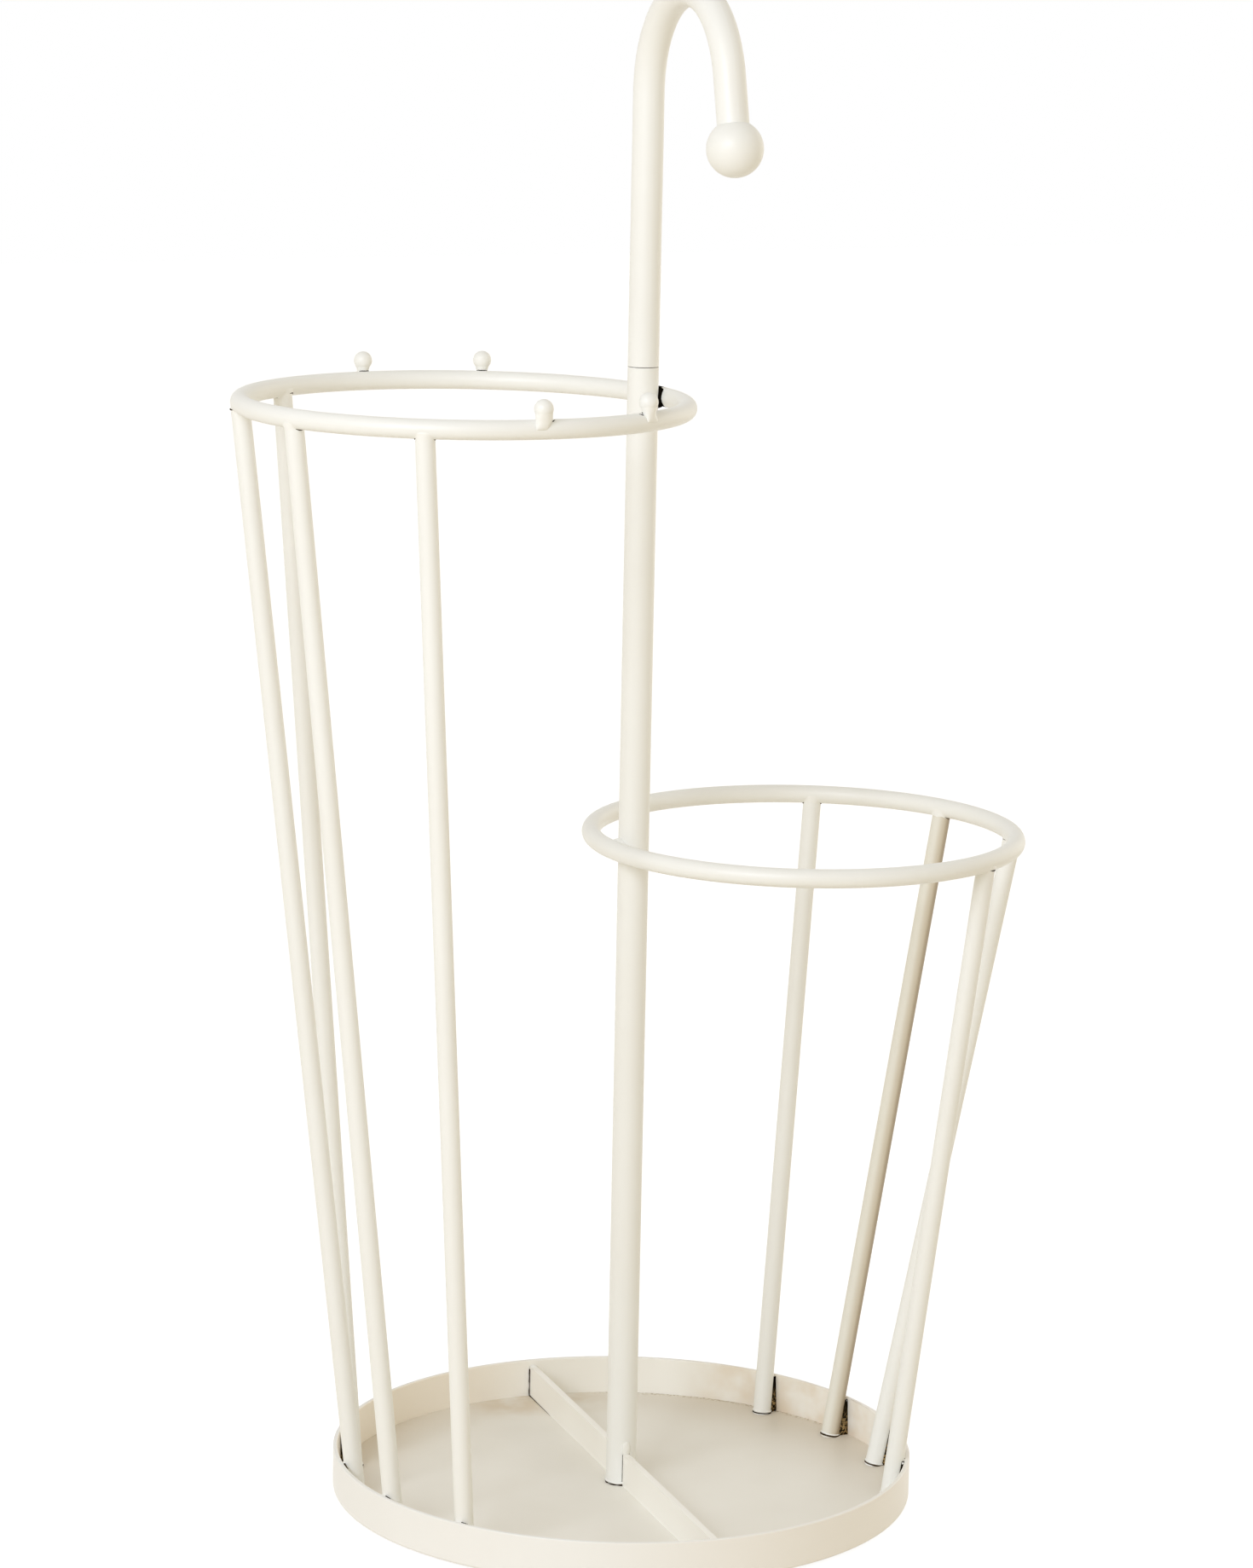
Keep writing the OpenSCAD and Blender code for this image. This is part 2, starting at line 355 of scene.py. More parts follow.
def paint(name, light, dark, rough, grain, bump, coat):
    """Powder-coated steel: slow colour drift, fine orange peel and a gently uneven gloss."""
    mat = bpy.data.materials.new(name)
    nodes, links = nodes_of(mat)
    out = nodes.new("ShaderNodeOutputMaterial")
    bsdf = nodes.new("ShaderNodeBsdfPrincipled")
    bsdf.inputs["Coat Weight"].default_value = coat
    bsdf.inputs["Coat Roughness"].default_value = COAT_ROUGH
    coord = nodes.new("ShaderNodeTexCoord")
    drift = ramp_node(nodes, dark, light, 0.35, 0.65)
    fine = noise_node(nodes, links, coord, grain, 2.0)
    peel = noise_node(nodes, links, coord, grain * PEEL_SHARE, 2.0)
    gloss = nodes.new("ShaderNodeMapRange")
    gloss.inputs["To Min"].default_value = rough - ROUGH_SPREAD
    gloss.inputs["To Max"].default_value = rough + ROUGH_SPREAD
    relief = nodes.new("ShaderNodeBump")
    relief.inputs["Strength"].default_value = bump
    relief.inputs["Distance"].default_value = PEEL_DEPTH
    links.new(noise_node(nodes, links, coord, DRIFT_SCALE, 3.0), drift.inputs["Fac"])
    links.new(drift.outputs["Color"], bsdf.inputs["Base Color"])
    links.new(peel, gloss.inputs["Value"])
    links.new(gloss.outputs["Result"], bsdf.inputs["Roughness"])
    links.new(math_node(nodes, links, "ADD", fine, peel), relief.inputs["Height"])
    links.new(relief.outputs["Normal"], bsdf.inputs["Normal"])
    links.new(bsdf.outputs["BSDF"], out.inputs["Surface"])
    return mat


def ease(mat, value, start, end):
    """Mask that is 0 at start and 1 at end, eased in between."""
    nodes, links = mat.node_tree.nodes, mat.node_tree.links
    step = nodes.new("ShaderNodeMapRange")
    step.interpolation_type = "SMOOTHSTEP"
    step.inputs["From Min"].default_value = start
    step.inputs["From Max"].default_value = end
    links.new(value, step.inputs["Value"])
    return step.outputs["Result"]


def measure(mat, operation, other, flat=True):
    """One vector operation on the object's own coordinates, flattened to the floor if asked."""
    nodes, links = mat.node_tree.nodes, mat.node_tree.links
    coord = nodes.new("ShaderNodeTexCoord")
    place = nodes.new("ShaderNodeVectorMath")
    place.operation = "MULTIPLY"
    place.inputs[1].default_value = (1, 1, 0 if flat else 1)
    step = nodes.new("ShaderNodeVectorMath")
    step.operation = operation
    step.inputs[1].default_value = other
    links.new(coord.outputs["Object"], place.inputs[0])
    links.new(place.outputs[0], step.inputs[0])
    return step.outputs["Value"]


def out_from_post(mat, start, end):
    """Mask by the distance from the post's axis."""
    return ease(mat, measure(mat, "LENGTH", (0, 0, 0)), start, end)


def out_from_spot(mat, spot, start, end):
    """Mask by the level distance from a spot."""
    return ease(mat, measure(mat, "DISTANCE", spot), start, end)


def out_towards(mat, azimuth, start, end):
    """Mask by how far a point lies towards that side of the stand."""
    return ease(mat, measure(mat, "DOT_PRODUCT", view_dir(azimuth, 0)), start, end)


def out_along(mat, direction, start, end):
    """Mask by how far a point lies along a direction in space."""
    return ease(mat, measure(mat, "DOT_PRODUCT", direction, flat=False), start, end)


def grains(mat, scale, start, end):
    """Mask of fine or coarse spots."""
    nodes, links = mat.node_tree.nodes, mat.node_tree.links
    coord = nodes.new("ShaderNodeTexCoord")
    return ease(mat, noise_node(nodes, links, coord, scale, 3.0), start, end)


def tint(mat, colour, strength, *masks):
    """Mix a colour into a paint where all the masks are high."""
    nodes, links = mat.node_tree.nodes, mat.node_tree.links
    base = nodes["Principled BSDF"].inputs["Base Color"]
    before = base.links[0].from_socket
    mask = masks[0]
    for other in masks[1:]:
        mask = math_node(nodes, links, "MULTIPLY", mask, other)
    amount = nodes.new("ShaderNodeMath")
    amount.operation = "MULTIPLY"
    amount.inputs[1].default_value = strength
    mix = nodes.new("ShaderNodeMix")
    mix.data_type = "RGBA"
    mix.inputs["B"].default_value = (*colour, 1)
    links.new(mask, amount.inputs[0])
    links.new(amount.outputs[0], mix.inputs["Factor"])
    links.new(before, mix.inputs["A"])
    links.new(mix.outputs["Result"], base)


def tray_paint():
    """Whiter than the rods, with painted warm shade on the right; painted light inside the rim, with two
    patches of painted warm shade there.
    """
    mat = paint("cream_tray", (0.896, 0.900, 0.886), (0.884, 0.884, 0.862),
                rough=0.50, grain=1500.0, bump=0.12, coat=0.3)
    inside = out_from_post(mat, RIM_IN + 0.8 * MM, RIM_IN + 0.3 * MM)
    left_back = out_towards(mat, -118, 85 * MM, 118 * MM)
    right_back = out_towards(mat, 138, 106 * MM, 121 * MM)
    # painted warm shade towards the stand's right side
    tint(mat, (0.905, 0.888, 0.850), 1.0, out_towards(mat, 72, 20 * MM, 110 * MM))
    # painted light: the rim's inner side made lighter
    tint(mat, (0.955, 0.945, 0.895), 1.0, inside)
    # painted warm shade on the rim's inner side at the left back
    tint(mat, (0.930, 0.830, 0.690), 0.55, inside, left_back)
    # painted warm shade, broken by grains, on the rim's inner side at the right back
    tint(mat, (0.800, 0.690, 0.540), 0.95, inside, right_back, grains(mat, 45.0, 0.25, 0.65))
    return mat


def tray_floor_paint():
    """Floor plate, darker and warmer near the rim with painted shade, with brown grains by the welded joints
    and warm brown patches by the divider's back end.
    """
    mat = paint("cream_floor", (0.885, 0.868, 0.805), (0.850, 0.828, 0.758),
                rough=0.50, grain=1800.0, bump=0.18, coat=0.2)
    # painted shade: the floor darker and warmer near the rim at the back right and at the left
    for azimuth, start in ((128, 55 * MM), (-98, 80 * MM)):
        side = out_towards(mat, azimuth, start * 0.6, RIM_IN)
        tint(mat, (0.62, 0.52, 0.38), 0.55, out_from_post(mat, start, RIM_IN), side)
    edge = out_from_post(mat, RIM_IN - 3.5 * MM, RIM_IN - 0.2 * MM)
    back = out_towards(mat, 157, 100 * MM, 118 * MM)
    tint(mat, (0.36, 0.26, 0.14), 0.85, edge, back, grains(mat, 700.0, 0.46, 0.60))
    # warm brown patches with grains on both sides of the divider's back end
    for left, strength in ((10 * MM, 0.80), (-12 * MM, 0.60)):
        divider_end_patch = out_from_spot(mat, RUN * (BAR_LEN - 4 * MM) + FACE * left, 34 * MM, 3 * MM)
        tint(mat, (0.66, 0.53, 0.36), strength, divider_end_patch, grains(mat, 60.0, 0.25, 0.70))
    return mat


def shaded_rod_paint(rod):
    """Paint of a rod, with painted shade: darker beige all round and brown down its right side."""
    mat = paint("cream_painted_shade", (0.800, 0.785, 0.710), (0.765, 0.745, 0.655),
                rough=0.50, grain=1500.0, bump=0.10, coat=0.3)
    side = rod.square(view_dir(88, 0))
    middle = rod.foot.dot(side)
    tan = out_along(mat, side, middle - 0.6 * rod.r, middle + 0.5 * rod.r)
    brown = out_along(mat, side, middle + 0.35 * rod.r, middle + 0.95 * rod.r)
    # painted shade: tan, then brown towards the rod's right side
    tint(mat, (0.600, 0.520, 0.390), 0.70, tan)
    tint(mat, (0.330, 0.250, 0.150), 0.85, brown)
    return mat


def zinc_steel():
    mat = paint("zinc_steel", (0.60, 0.60, 0.62), (0.52, 0.52, 0.55),
                rough=0.35, grain=900.0, bump=0.12, coat=0.0)
    mat.node_tree.nodes["Principled BSDF"].inputs["Metallic"].default_value = 1.0
    return mat


def joint_black(name, low, high):
    """Near-black, dull steel colour: unpainted steel in the welds, and painted shade where it lines gaps and
    crevices.
    """
    mat = paint(name, high, low, rough=0.80, grain=900.0, bump=0.60, coat=0.0)
    mat.node_tree.nodes["Principled BSDF"].inputs["Specular IOR Level"].default_value = 0.0
    return mat


def crevice_shade_and_steel():
    """Painted shade of the crevice, partly unpainted steel: black, turning to brown grains towards the
    floor.
    """
    mat = joint_black("crevice_shade_and_bare_steel", (0.0035, 0.0028, 0.0020), (0.014, 0.010, 0.005))
    low_down = out_along(mat, UP, 17 * MM, 5 * MM)
    tint(mat, (0.40, 0.28, 0.13), 1.0, low_down, grains(mat, 1300.0, 0.44, 0.60))
    return mat


CREAM = paint("cream_gloss", (0.882, 0.892, 0.868), (0.868, 0.873, 0.842),
              rough=0.50, grain=1500.0, bump=0.10, coat=0.3)
BEAD = paint("cream_bead", (0.895, 0.900, 0.870), (0.875, 0.875, 0.835),
             rough=0.40, grain=600.0, bump=0.25, coat=0.5)
RUBBER = paint("pad_rubber", (0.030, 0.030, 0.030), (0.022, 0.022, 0.022),
               rough=0.80, grain=700.0, bump=0.30, coat=0.0)
BLACK = joint_black("joint_black", (0.0035, 0.0028, 0.0020), (0.012, 0.009, 0.006))
# painted shade: near-black brown for the dark lines in gaps, corners and crevices, and for the pinhole
BROWN = joint_black("joint_brown", (0.012, 0.007, 0.003), (0.060, 0.036, 0.016))
CREVICE_SHADE_AND_STEEL = crevice_shade_and_steel()
BY_SLOT = {"floor_paint": tray_floor_paint(), "tray_paint": tray_paint(), "frame_paint": CREAM,
           "rod_paint": CREAM, "handle_paint": CREAM, "bare_steel": zinc_steel(), "bare_weld": BLACK,
           "pad_rubber": RUBBER}
# the rod whose paint carries painted shade
SHADED_ROD = "short_rod_3"


def dress_cad_nodes():
    for part in frame["record"]["subparts"]:
        materials = frame["nodes"][part["node"]].data.materials
        materials.clear()
        materials.append(BY_SLOT[part["material_slot"]])
    frame["nodes"][SHADED_ROD].data.materials[0] = shaded_rod_paint(RODS[SHADED_ROD][0])


dress_cad_nodes()


# ---------------------------------------------------------------- mesh helpers
SKIN_IN = 0.02 * MM             # how far an added skin starts inside the surface it lies on
BODY_IN = 0.6 * MM              # how deep its hidden side reaches
FILLET_STEPS = 7
HALVINGS = 32

# seeds of the noise; a rod, peg, side or end adds its own number
SEEDS = {"top_weld": 1, "joint_line": 20, "foot_height": 40, "rim_tack": 60, "lip_notch": 70,
         "peg_fillet": 80, "peg_line": 85, "peg_skin": 90, "post_height": 101, "post_bead": 102,
         "post_gap": 103, "black_stretch": 104, "slot_bead": 105, "slot_line": 106, "end_path": 110,
         "end_line": 112, "end_bead": 115, "pinhole": 130}


def wobble(seed, *at):
    """Smooth repeatable noise between about -1 and 1."""
    place = list(at) + [0.0] * (3 - len(at))
    return noise.noise(Vector((place[0] + seed * 13.7, place[1] - seed * 5.3, place[2] + seed * 7.1)))


def around(count):
    """Cosine and sine of a full turn in equal steps."""
    turns = [2 * math.pi * k / count for k in range(count)]
    return [(math.cos(turn), math.sin(turn)) for turn in turns]


def border(low, high, before):
    """Value between low and high up to which before(value) is true, found by halves."""
    for _ in range(HALVINGS):
        middle = (low + high) / 2
        if before(middle):
            low = middle
        else:
            high = middle
    return low


class Build:
    """Collects closed forms and makes one smooth mesh object of them, which rides on the stand."""

    body = "stand"

    def __init__(self, name, material, slot):
        self.name, self.material, self.slot = name, material, slot
        self.verts, self.faces = [], []

    def loops(self, rows, closed):
        """Skin between section loops; closed joins the last to the first, otherwise both ends are capped."""
        base, sides, count = len(self.verts), len(rows[0]), len(rows)
        for row in rows:
            self.verts += [tuple(point) for point in row]
        for i in range(count if closed else count - 1):
            here, there = base + i * sides, base + ((i + 1) % count) * sides
            for k in range(sides):
                after = (k + 1) % sides
                self.faces.append((here + k, here + after, there + after, there + k))
        if not closed:
            self.faces.append(tuple(base + k for k in reversed(range(sides))))
            self.faces.append(tuple(base + (count - 1) * sides + k for k in range(sides)))

    def tube(self, path, radii, sides=8, closed=False, normal=UP):
        """Round bar along a path; radii gives one radius for each point."""
        rows = []
        for i, point in enumerate(path):
            ahead = path[(i + 1) % len(path)] if closed or i + 1 < len(path) else point
            behind = path[i - 1] if closed or i > 0 else point
            run = (ahead - behind).normalized()
            across = run.cross(normal).normalized()
            rise = across.cross(run)
            ring = [across * cosine + rise * sine for cosine, sine in around(sides)]
            rows.append([point + spoke * radii[i] for spoke in ring])
        self.loops(rows, closed)

    def blob(self, at, axes, seed, rough=0.25, rows=8, sides=14):
        """Uneven drop of weld with half axes given as three vectors."""
        skins = []
        for i in range(rows + 1):
            polar = math.pi * (0.04 + 0.92 * i / rows)
            row = []
            for cosine, sine in around(sides):
                unit = Vector((math.sin(polar) * cosine, math.sin(polar) * sine, math.cos(polar)))
                size = 1.0 + rough * wobble(seed, *(unit * 1.7))
                row.append(at + (axes[0] * unit.x + axes[1] * unit.y + axes[2] * unit.z) * size)
            skins.append(row)
        self.loops(skins, False)

    def make(self):
        mesh = bpy.data.meshes.new(self.name)
        mesh.from_pydata(self.verts, [], self.faces)
        mesh.polygons.foreach_set("use_smooth", [True] * len(mesh.polygons))
        mesh.materials.append(self.material)
        mesh.update()
        obj = bpy.data.objects.new(self.name, mesh)
        scene.collection.objects.link(obj)
        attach(obj, self.body)


def fillet_loop(start, start_normal, corner, end, end_normal, seed, place, swell):
    """Closed section of a fillet from one surface point round the corner to another."""
    out = (start_normal + end_normal).normalized()
    loop = [start - start_normal * SKIN_IN]
    for i in range(1, FILLET_STEPS):
        t = i / FILLET_STEPS
        curve = start * (1 - t) ** 2 + corner * 2 * t * (1 - t) + end * t * t
        loop.append(curve + out * swell * (1.0 + wobble(seed, place, t * 2.0)) * math.sin(math.pi * t))
    loop += [end - end_normal * SKIN_IN, end - end_normal * BODY_IN]
    loop += [corner - out * BODY_IN, start - start_normal * BODY_IN]
    return loop


# ---------------------------------------------------------------- what differs from rod to rod
# lines: sides on which a dark line of painted crevice shade shows under the ring, each with half its spread
# in degrees; line: its radius; tongue: reach of the weld up the ring's inner side; foot: radius of the dark
# line round the foot, painted shadow under the rod's end; crevice: half width of the dark web in the crevice
# between rod and rim, painted shade and partly unpainted steel; below: how far under the lip it ends; notch:
# length of the dark notch along the lip, painted crevice shade. All but the spreads are in mm.
USUAL = {"line": 0.24, "tongue": 0.6, "foot": 0.27, "crevice": 3.4, "below": 0.7, "notch": 0.0}
JOINTS = {
    "short_rod_1": {"lines": ((NEAR_RIGHT, 35),), "crevice": 3.3, "below": 0.3},
    "short_rod_2": {"lines": ((NEAR_LEFT, 30),), "line": 0.12, "foot": 0.30, "crevice": 4.0, "below": 0.2},
    "short_rod_3": {"lines": ((NEAR_RIGHT, 40),), "tongue": 3.2, "foot": 0.33, "crevice": 3.8},
    "short_rod_4": {"lines": ((LEFT, 40), (RIGHT, 55)), "tongue": 1.0, "foot": 0.24, "crevice": 4.1},
    "tall_rod_1": {"lines": ((RIGHT, 40), (NEAR_LEFT, 30)), "notch": 3.4},
    "tall_rod_2": {"lines": ((view_dir(-80, 0), 45),), "line": 0.32, "tongue": 2.2, "crevice": 1.5,
                   "below": 8.0, "notch": 6.5},
    "tall_rod_3": {"lines": ((NEAR_RIGHT, 45),), "line": 0.42, "notch": 3.6},
    "tall_rod_4": {"lines": ((LEFT, 35), (RIGHT, 40)), "notch": 3.2},
}


# ---------------------------------------------------------------- rods welded to the rings
SEARCH_DEPTH = 12 * MM          # below the ring's middle, where the search for a rod's end starts
TOP_SECTIONS = 64
THIN_ON_ROD = 0.22              # mm, the fillet's reach where it is thinnest
THIN_ON_RING = 0.26             # mm
THICKER = 1.5                   # mm, what it gains towards the ring's inner and outer side
TONGUE_SPREAD = 30              # degrees
TOP_SWELL = 0.04 * MM
LINE_STEPS = 5                  # on each side of a joint line's middle


def rod_end(rod, ring, side):
    """Point where the rod's side line on that side ends under the ring."""

    def edge(z):
        return rod.at(z) + side * rod.r

    return edge(border(ring.mid.z - SEARCH_DEPTH, rod.top, lambda z: ring.away(edge(z)) > 0))


def top_weld(build, rod, ring, tongue, seed):
    """Thin fillet round the rod's upper end, with a tongue that runs up the ring's inner side."""
    inward = rod.square(ring.mid - ring.core(rod.at(ring.mid.z)))
    sideways = rod.dir.cross(inward)
    rows = []
    for k, (cosine, sine) in enumerate(around(TOP_SECTIONS)):
        side = inward * cosine + sideways * sine
        corner = rod_end(rod, ring, side)
        ragged = 1.0 + 0.18 * wobble(seed, cosine * 2.2, sine * 2.2)
        gain = THICKER * abs(cosine) ** 1.6
        angle = math.degrees(math.acos(max(-1.0, min(1.0, cosine))))
        reach = THIN_ON_RING + gain + tongue * math.exp(-(angle / TONGUE_SPREAD) ** 2)
        on_ring, normal = ring.on(corner)
        step = side + UP
        step = (step - normal * step.dot(normal)).normalized()
        upper, upper_normal = ring.on(on_ring + step * reach * ragged * MM)
        lower = corner - rod.dir * (THIN_ON_ROD + gain) * ragged * MM
        rows.append(fillet_loop(lower, side, corner, upper, upper_normal, seed, k * 0.35 * 1.9, TOP_SWELL))
    build.loops(rows, True)


def joint_line(build, rod, ring, facing, spread, radius, seed):
    """Dark line of painted crevice shade in the corner under the ring, on the rod's side that faces that
    way.
    """
    front = rod.square(facing)
    across = rod.dir.cross(front)
    path, radii = [], []
    for k in range(2 * LINE_STEPS + 1):
        t = k / LINE_STEPS - 1
        turn = math.radians(spread) * t
        side = front * math.cos(turn) + across * math.sin(turn)
        corner = rod_end(rod, ring, side)
        out = (side + ring.on(corner)[1]).normalized()
        path.append(corner + out * (0.16 + 0.10 * wobble(seed, t * 2)) * MM)
        radii.append(radius * (1.05 - t * t) * (1 + 0.35 * wobble(seed + 9, t * 3)) * MM)
    build.tube(path, radii)


def weld_rod_tops():
    welds = Build("rod_top_welds", BEAD, "rod_paint")
    # dark lines of painted crevice shade under the rings
    marks = Build("rod_top_shade_lines", BROWN, "bare_weld")
    for i, name in enumerate(sorted(RODS)):
        rod, ring = RODS[name]
        joint = {**USUAL, **JOINTS[name]}
        top_weld(welds, rod, ring, joint["tongue"], i + SEEDS["top_weld"])
        for facing, spread in joint["lines"]:
            joint_line(marks, rod, ring, facing, spread, joint["line"], i + SEEDS["joint_line"])
    welds.make()
    marks.make()


# ---------------------------------------------------------------- feet of the rods
# height over the floor plate, radius, and how far the middle stands out of the rod, in mm
FOOT_BEAD = (1.00, 0.34, 0.02)
# the dark line round each foot is painted shadow under the rod's end
FOOT_LINE_HEIGHT, FOOT_LINE_PROUD = 0.26, 0.10
FOOT_SECTIONS = 40
CREVICE_STEPS = 6
CREVICE_TAPER = 0.14            # mm narrower at each step up
CREVICE_START = 1.0 * MM        # out from the rod's axis
CREVICE_IN_ROD = 2.8            # mm, most half width at the rod
NOTCH_STEPS = 8
NOTCH_START = 1.6               # mm from the rod's axis
NOTCH_RADIUS = 0.42             # mm


def foot_ring(build, rod, out, height, radius, proud, number):
    """Uneven ring round a rod's foot; its height also keeps the noise of bead and line apart."""
    across = UP.cross(out)
    path, radii = [], []
    for cosine, sine in around(FOOT_SECTIONS):
        side = rod.square(out * cosine + across * sine)
        uneven = 1 + 0.25 * wobble(number + SEEDS["foot_height"], cosine, sine)
        path.append(rod.at(FLOOR_Z + height * MM * uneven) + side * (rod.r + proud * MM))
        radii.append(radius * MM * (1 + 0.30 * wobble(number + height, cosine * 2.5, sine * 2.5)))
    build.tube(path, radii, closed=True)


def crevice(build, rod, out, half, below):
    """Dark web that fills the wedge between the rod and the rim: painted shade of the crevice, partly
    unpainted steel.
    """
    across = UP.cross(out)
    wall = RIM_IN - SKIN_IN
    rows = []
    for k in range(CREVICE_STEPS + 1):
        z = FLOOR_Z + (RIM_TOP - below * MM - FLOOR_Z) * k / CREVICE_STEPS
        inner = rod.at(z) + out * CREVICE_START
        inner_half = across * min(CREVICE_IN_ROD, half) * MM
        outer_half = across * (half - CREVICE_TAPER * k) * MM
        row = [inner - inner_half, inner + inner_half]
        for corner in (out * wall + outer_half, out * wall - outer_half):
            row.append(corner.normalized() * wall + UP * z)
        rows.append(row)
    build.loops(rows, False)


def lip_notch(build, out, length, seed):
    """Dark notch of painted crevice shade that runs along the rim's lip from the rod, on the viewer's right.
    """
    across = UP.cross(out)
    sideways = across if across.dot(RIGHT) > 0 else -across
    path, radii = [], []
    for k in range(NOTCH_STEPS + 1):
        spot = out * RIM_IN + sideways * (NOTCH_START + length * k / NOTCH_STEPS) * MM
        path.append(spot.normalized() * (RIM_IN - 0.18 * MM) + UP * (RIM_TOP - 0.25 * MM))
        narrowing = (1 - k / (NOTCH_STEPS + 1)) ** 0.7
        radii.append(NOTCH_RADIUS * narrowing * (1 + 0.3 * wobble(seed, k * 0.8)) * MM)
    build.tube(path, radii)


def rim_tack(build, rod, out, seed):
    """Tack of weld between the rod and the rim's lip."""
    touch = rod.at(RIM_TOP) + rod.square(out) * rod.r
    axes = (UP.cross(out) * 3.0 * MM, out * 0.9 * MM, UP * 0.9 * MM)
    build.blob(touch - UP * 0.5 * MM - out * 0.3 * MM, axes, seed)


def weld_rod_feet():
    beads = Build("rod_foot_beads", BEAD, "rod_paint")
    gaps = Build("foot_gaps", BROWN, "bare_weld")
    # dark webs of painted crevice shade, partly unpainted steel, between rods and rim
    webs = Build("foot_webs", CREVICE_SHADE_AND_STEEL, "bare_weld")
    tacks = Build("rim_tacks", BEAD, "tray_paint")
    for i, name in enumerate(sorted(RODS)):
        rod = RODS[name][0]
        joint = {**USUAL, **JOINTS[name]}
        out = Vector((rod.foot.x, rod.foot.y, 0)).normalized()
        foot_ring(beads, rod, out, *FOOT_BEAD, i)
        # dark line round the foot: painted shadow under the rod's end
        foot_ring(gaps, rod, out, FOOT_LINE_HEIGHT, joint["foot"], FOOT_LINE_PROUD, i)
        crevice(webs, rod, out, joint["crevice"], joint["below"])
        if joint["notch"]:
            lip_notch(gaps, out, joint["notch"], i + SEEDS["lip_notch"])
        rim_tack(tacks, rod, out, i + SEEDS["rim_tack"])
    for build in (beads, gaps, webs, tacks):
        build.make()


# ---------------------------------------------------------------- pegs on the tall ring
# a peg's taper: radius, and height above the bar's middle, at its lower end and at the ball's middle
PEG_FOOT_R, PEG_FOOT_Z = 1.3 * MM, 0.8 * MM
PEG_TOP_R, PEG_TOP_Z = 3.8 * MM, 8.4 * MM
PEG_SLOPE = (PEG_TOP_R - PEG_FOOT_R) / (PEG_TOP_Z - PEG_FOOT_Z)
PEG_SECTIONS = 48
PEG_SWELL = 0.03 * MM
INNER_SIDE = -0.30              # cosine at which the dark line round the neck's inner side starts

# sections of the weld that fattens a peg's outer side: height above the bar's middle, outer edge, half
# depth and half width in mm, and how much of that width gives way to the neck's own
PEG_SKIN = ((8.2, 5.6, 3.3, 3.30, 0.0), (7.5, 5.85, 3.5, 3.62, 0.0), (6.8, 5.8, 3.4, 3.60, 0.10),
            (6.0, 5.65, 3.1, 3.60, 0.5), (5.0, 5.45, 2.8, 3.60, 0.9), (4.2, 5.25, 2.5, 3.60, 1.0),
            (3.5, 5.05, 2.1, 3.60, 0.96), (2.8, 4.95, 1.8, 3.60, 0.86), (2.1, 4.9, 1.4, 3.60, 0.70),
            (1.5, 4.75, 1.1, 3.60, 0.52), (1.0, 4.55, 0.8, 3.60, 0.34), (0.6, 4.3, 0.5, 3.60, 0.17),
            (0.3, 4.1, 0.25, 3.60, 0.05))
SKIN_SECTIONS = 32

# neck: the weld's half width at the neck, in mm; lean: how it leans to one side below LEAN_BELOW;
# tip: half width at its lower end if it narrows evenly below TIP_BELOW; mark: on which side of the neck a
# short dark line lies, or 0
PEGS = {1: {"neck": 2.35, "lean": 0.0, "tip": None, "mark": 0},
        2: {"neck": 2.35, "lean": 0.0, "tip": None, "mark": 0},
        3: {"neck": 3.60, "lean": -0.95, "tip": 2.10, "mark": 1},
        4: {"neck": 2.95, "lean": 0.80, "tip": None, "mark": -1}}
LEAN_BELOW = 4.0                # mm above the bar's middle
TIP_BELOW = 4.5                 # mm above the bar's middle
MARK_RADII = (0.17, 0.24, 0.20, 0.16, 0.12, 0.06)   # mm


def peg_corner(mid, side):
    """Point where the peg's taper meets the bar on that side."""

    def edge(z):
        radius = PEG_FOOT_R + PEG_SLOPE * (z - PEG_FOOT_Z)
        return Vector((mid.x, mid.y, TALL_RING.mid.z + z)) + side * radius

    return edge(border(PEG_FOOT_Z, PEG_TOP_Z, lambda z: TALL_RING.away(edge(z)) <= 0))


def peg_skin(build, peg, bar, out, across, seed):
    """Weld that runs from the ball down the bar's outer side."""
    rows = []
    for z, outer, depth, full, share in PEG_SKIN:
        wide = full * (1 - share) + peg["neck"] * share
        if peg["tip"] and z < TIP_BELOW:
            wide = peg["tip"] + (peg["neck"] - peg["tip"]) * z / TIP_BELOW
        lean = peg["lean"] * max(0.0, LEAN_BELOW - z) * 0.35
        row = []
        for cosine, sine in around(SKIN_SECTIONS):
            ragged = 1 + 0.05 * wobble(seed, cosine * 1.5, sine * 1.5, z * 0.4)
            outward = out * (outer - depth + depth * cosine * ragged)
            row.append(bar + (UP * z + outward + across * (wide * sine * ragged + lean)) * MM)
        rows.append(row)
    build.loops(rows, False)


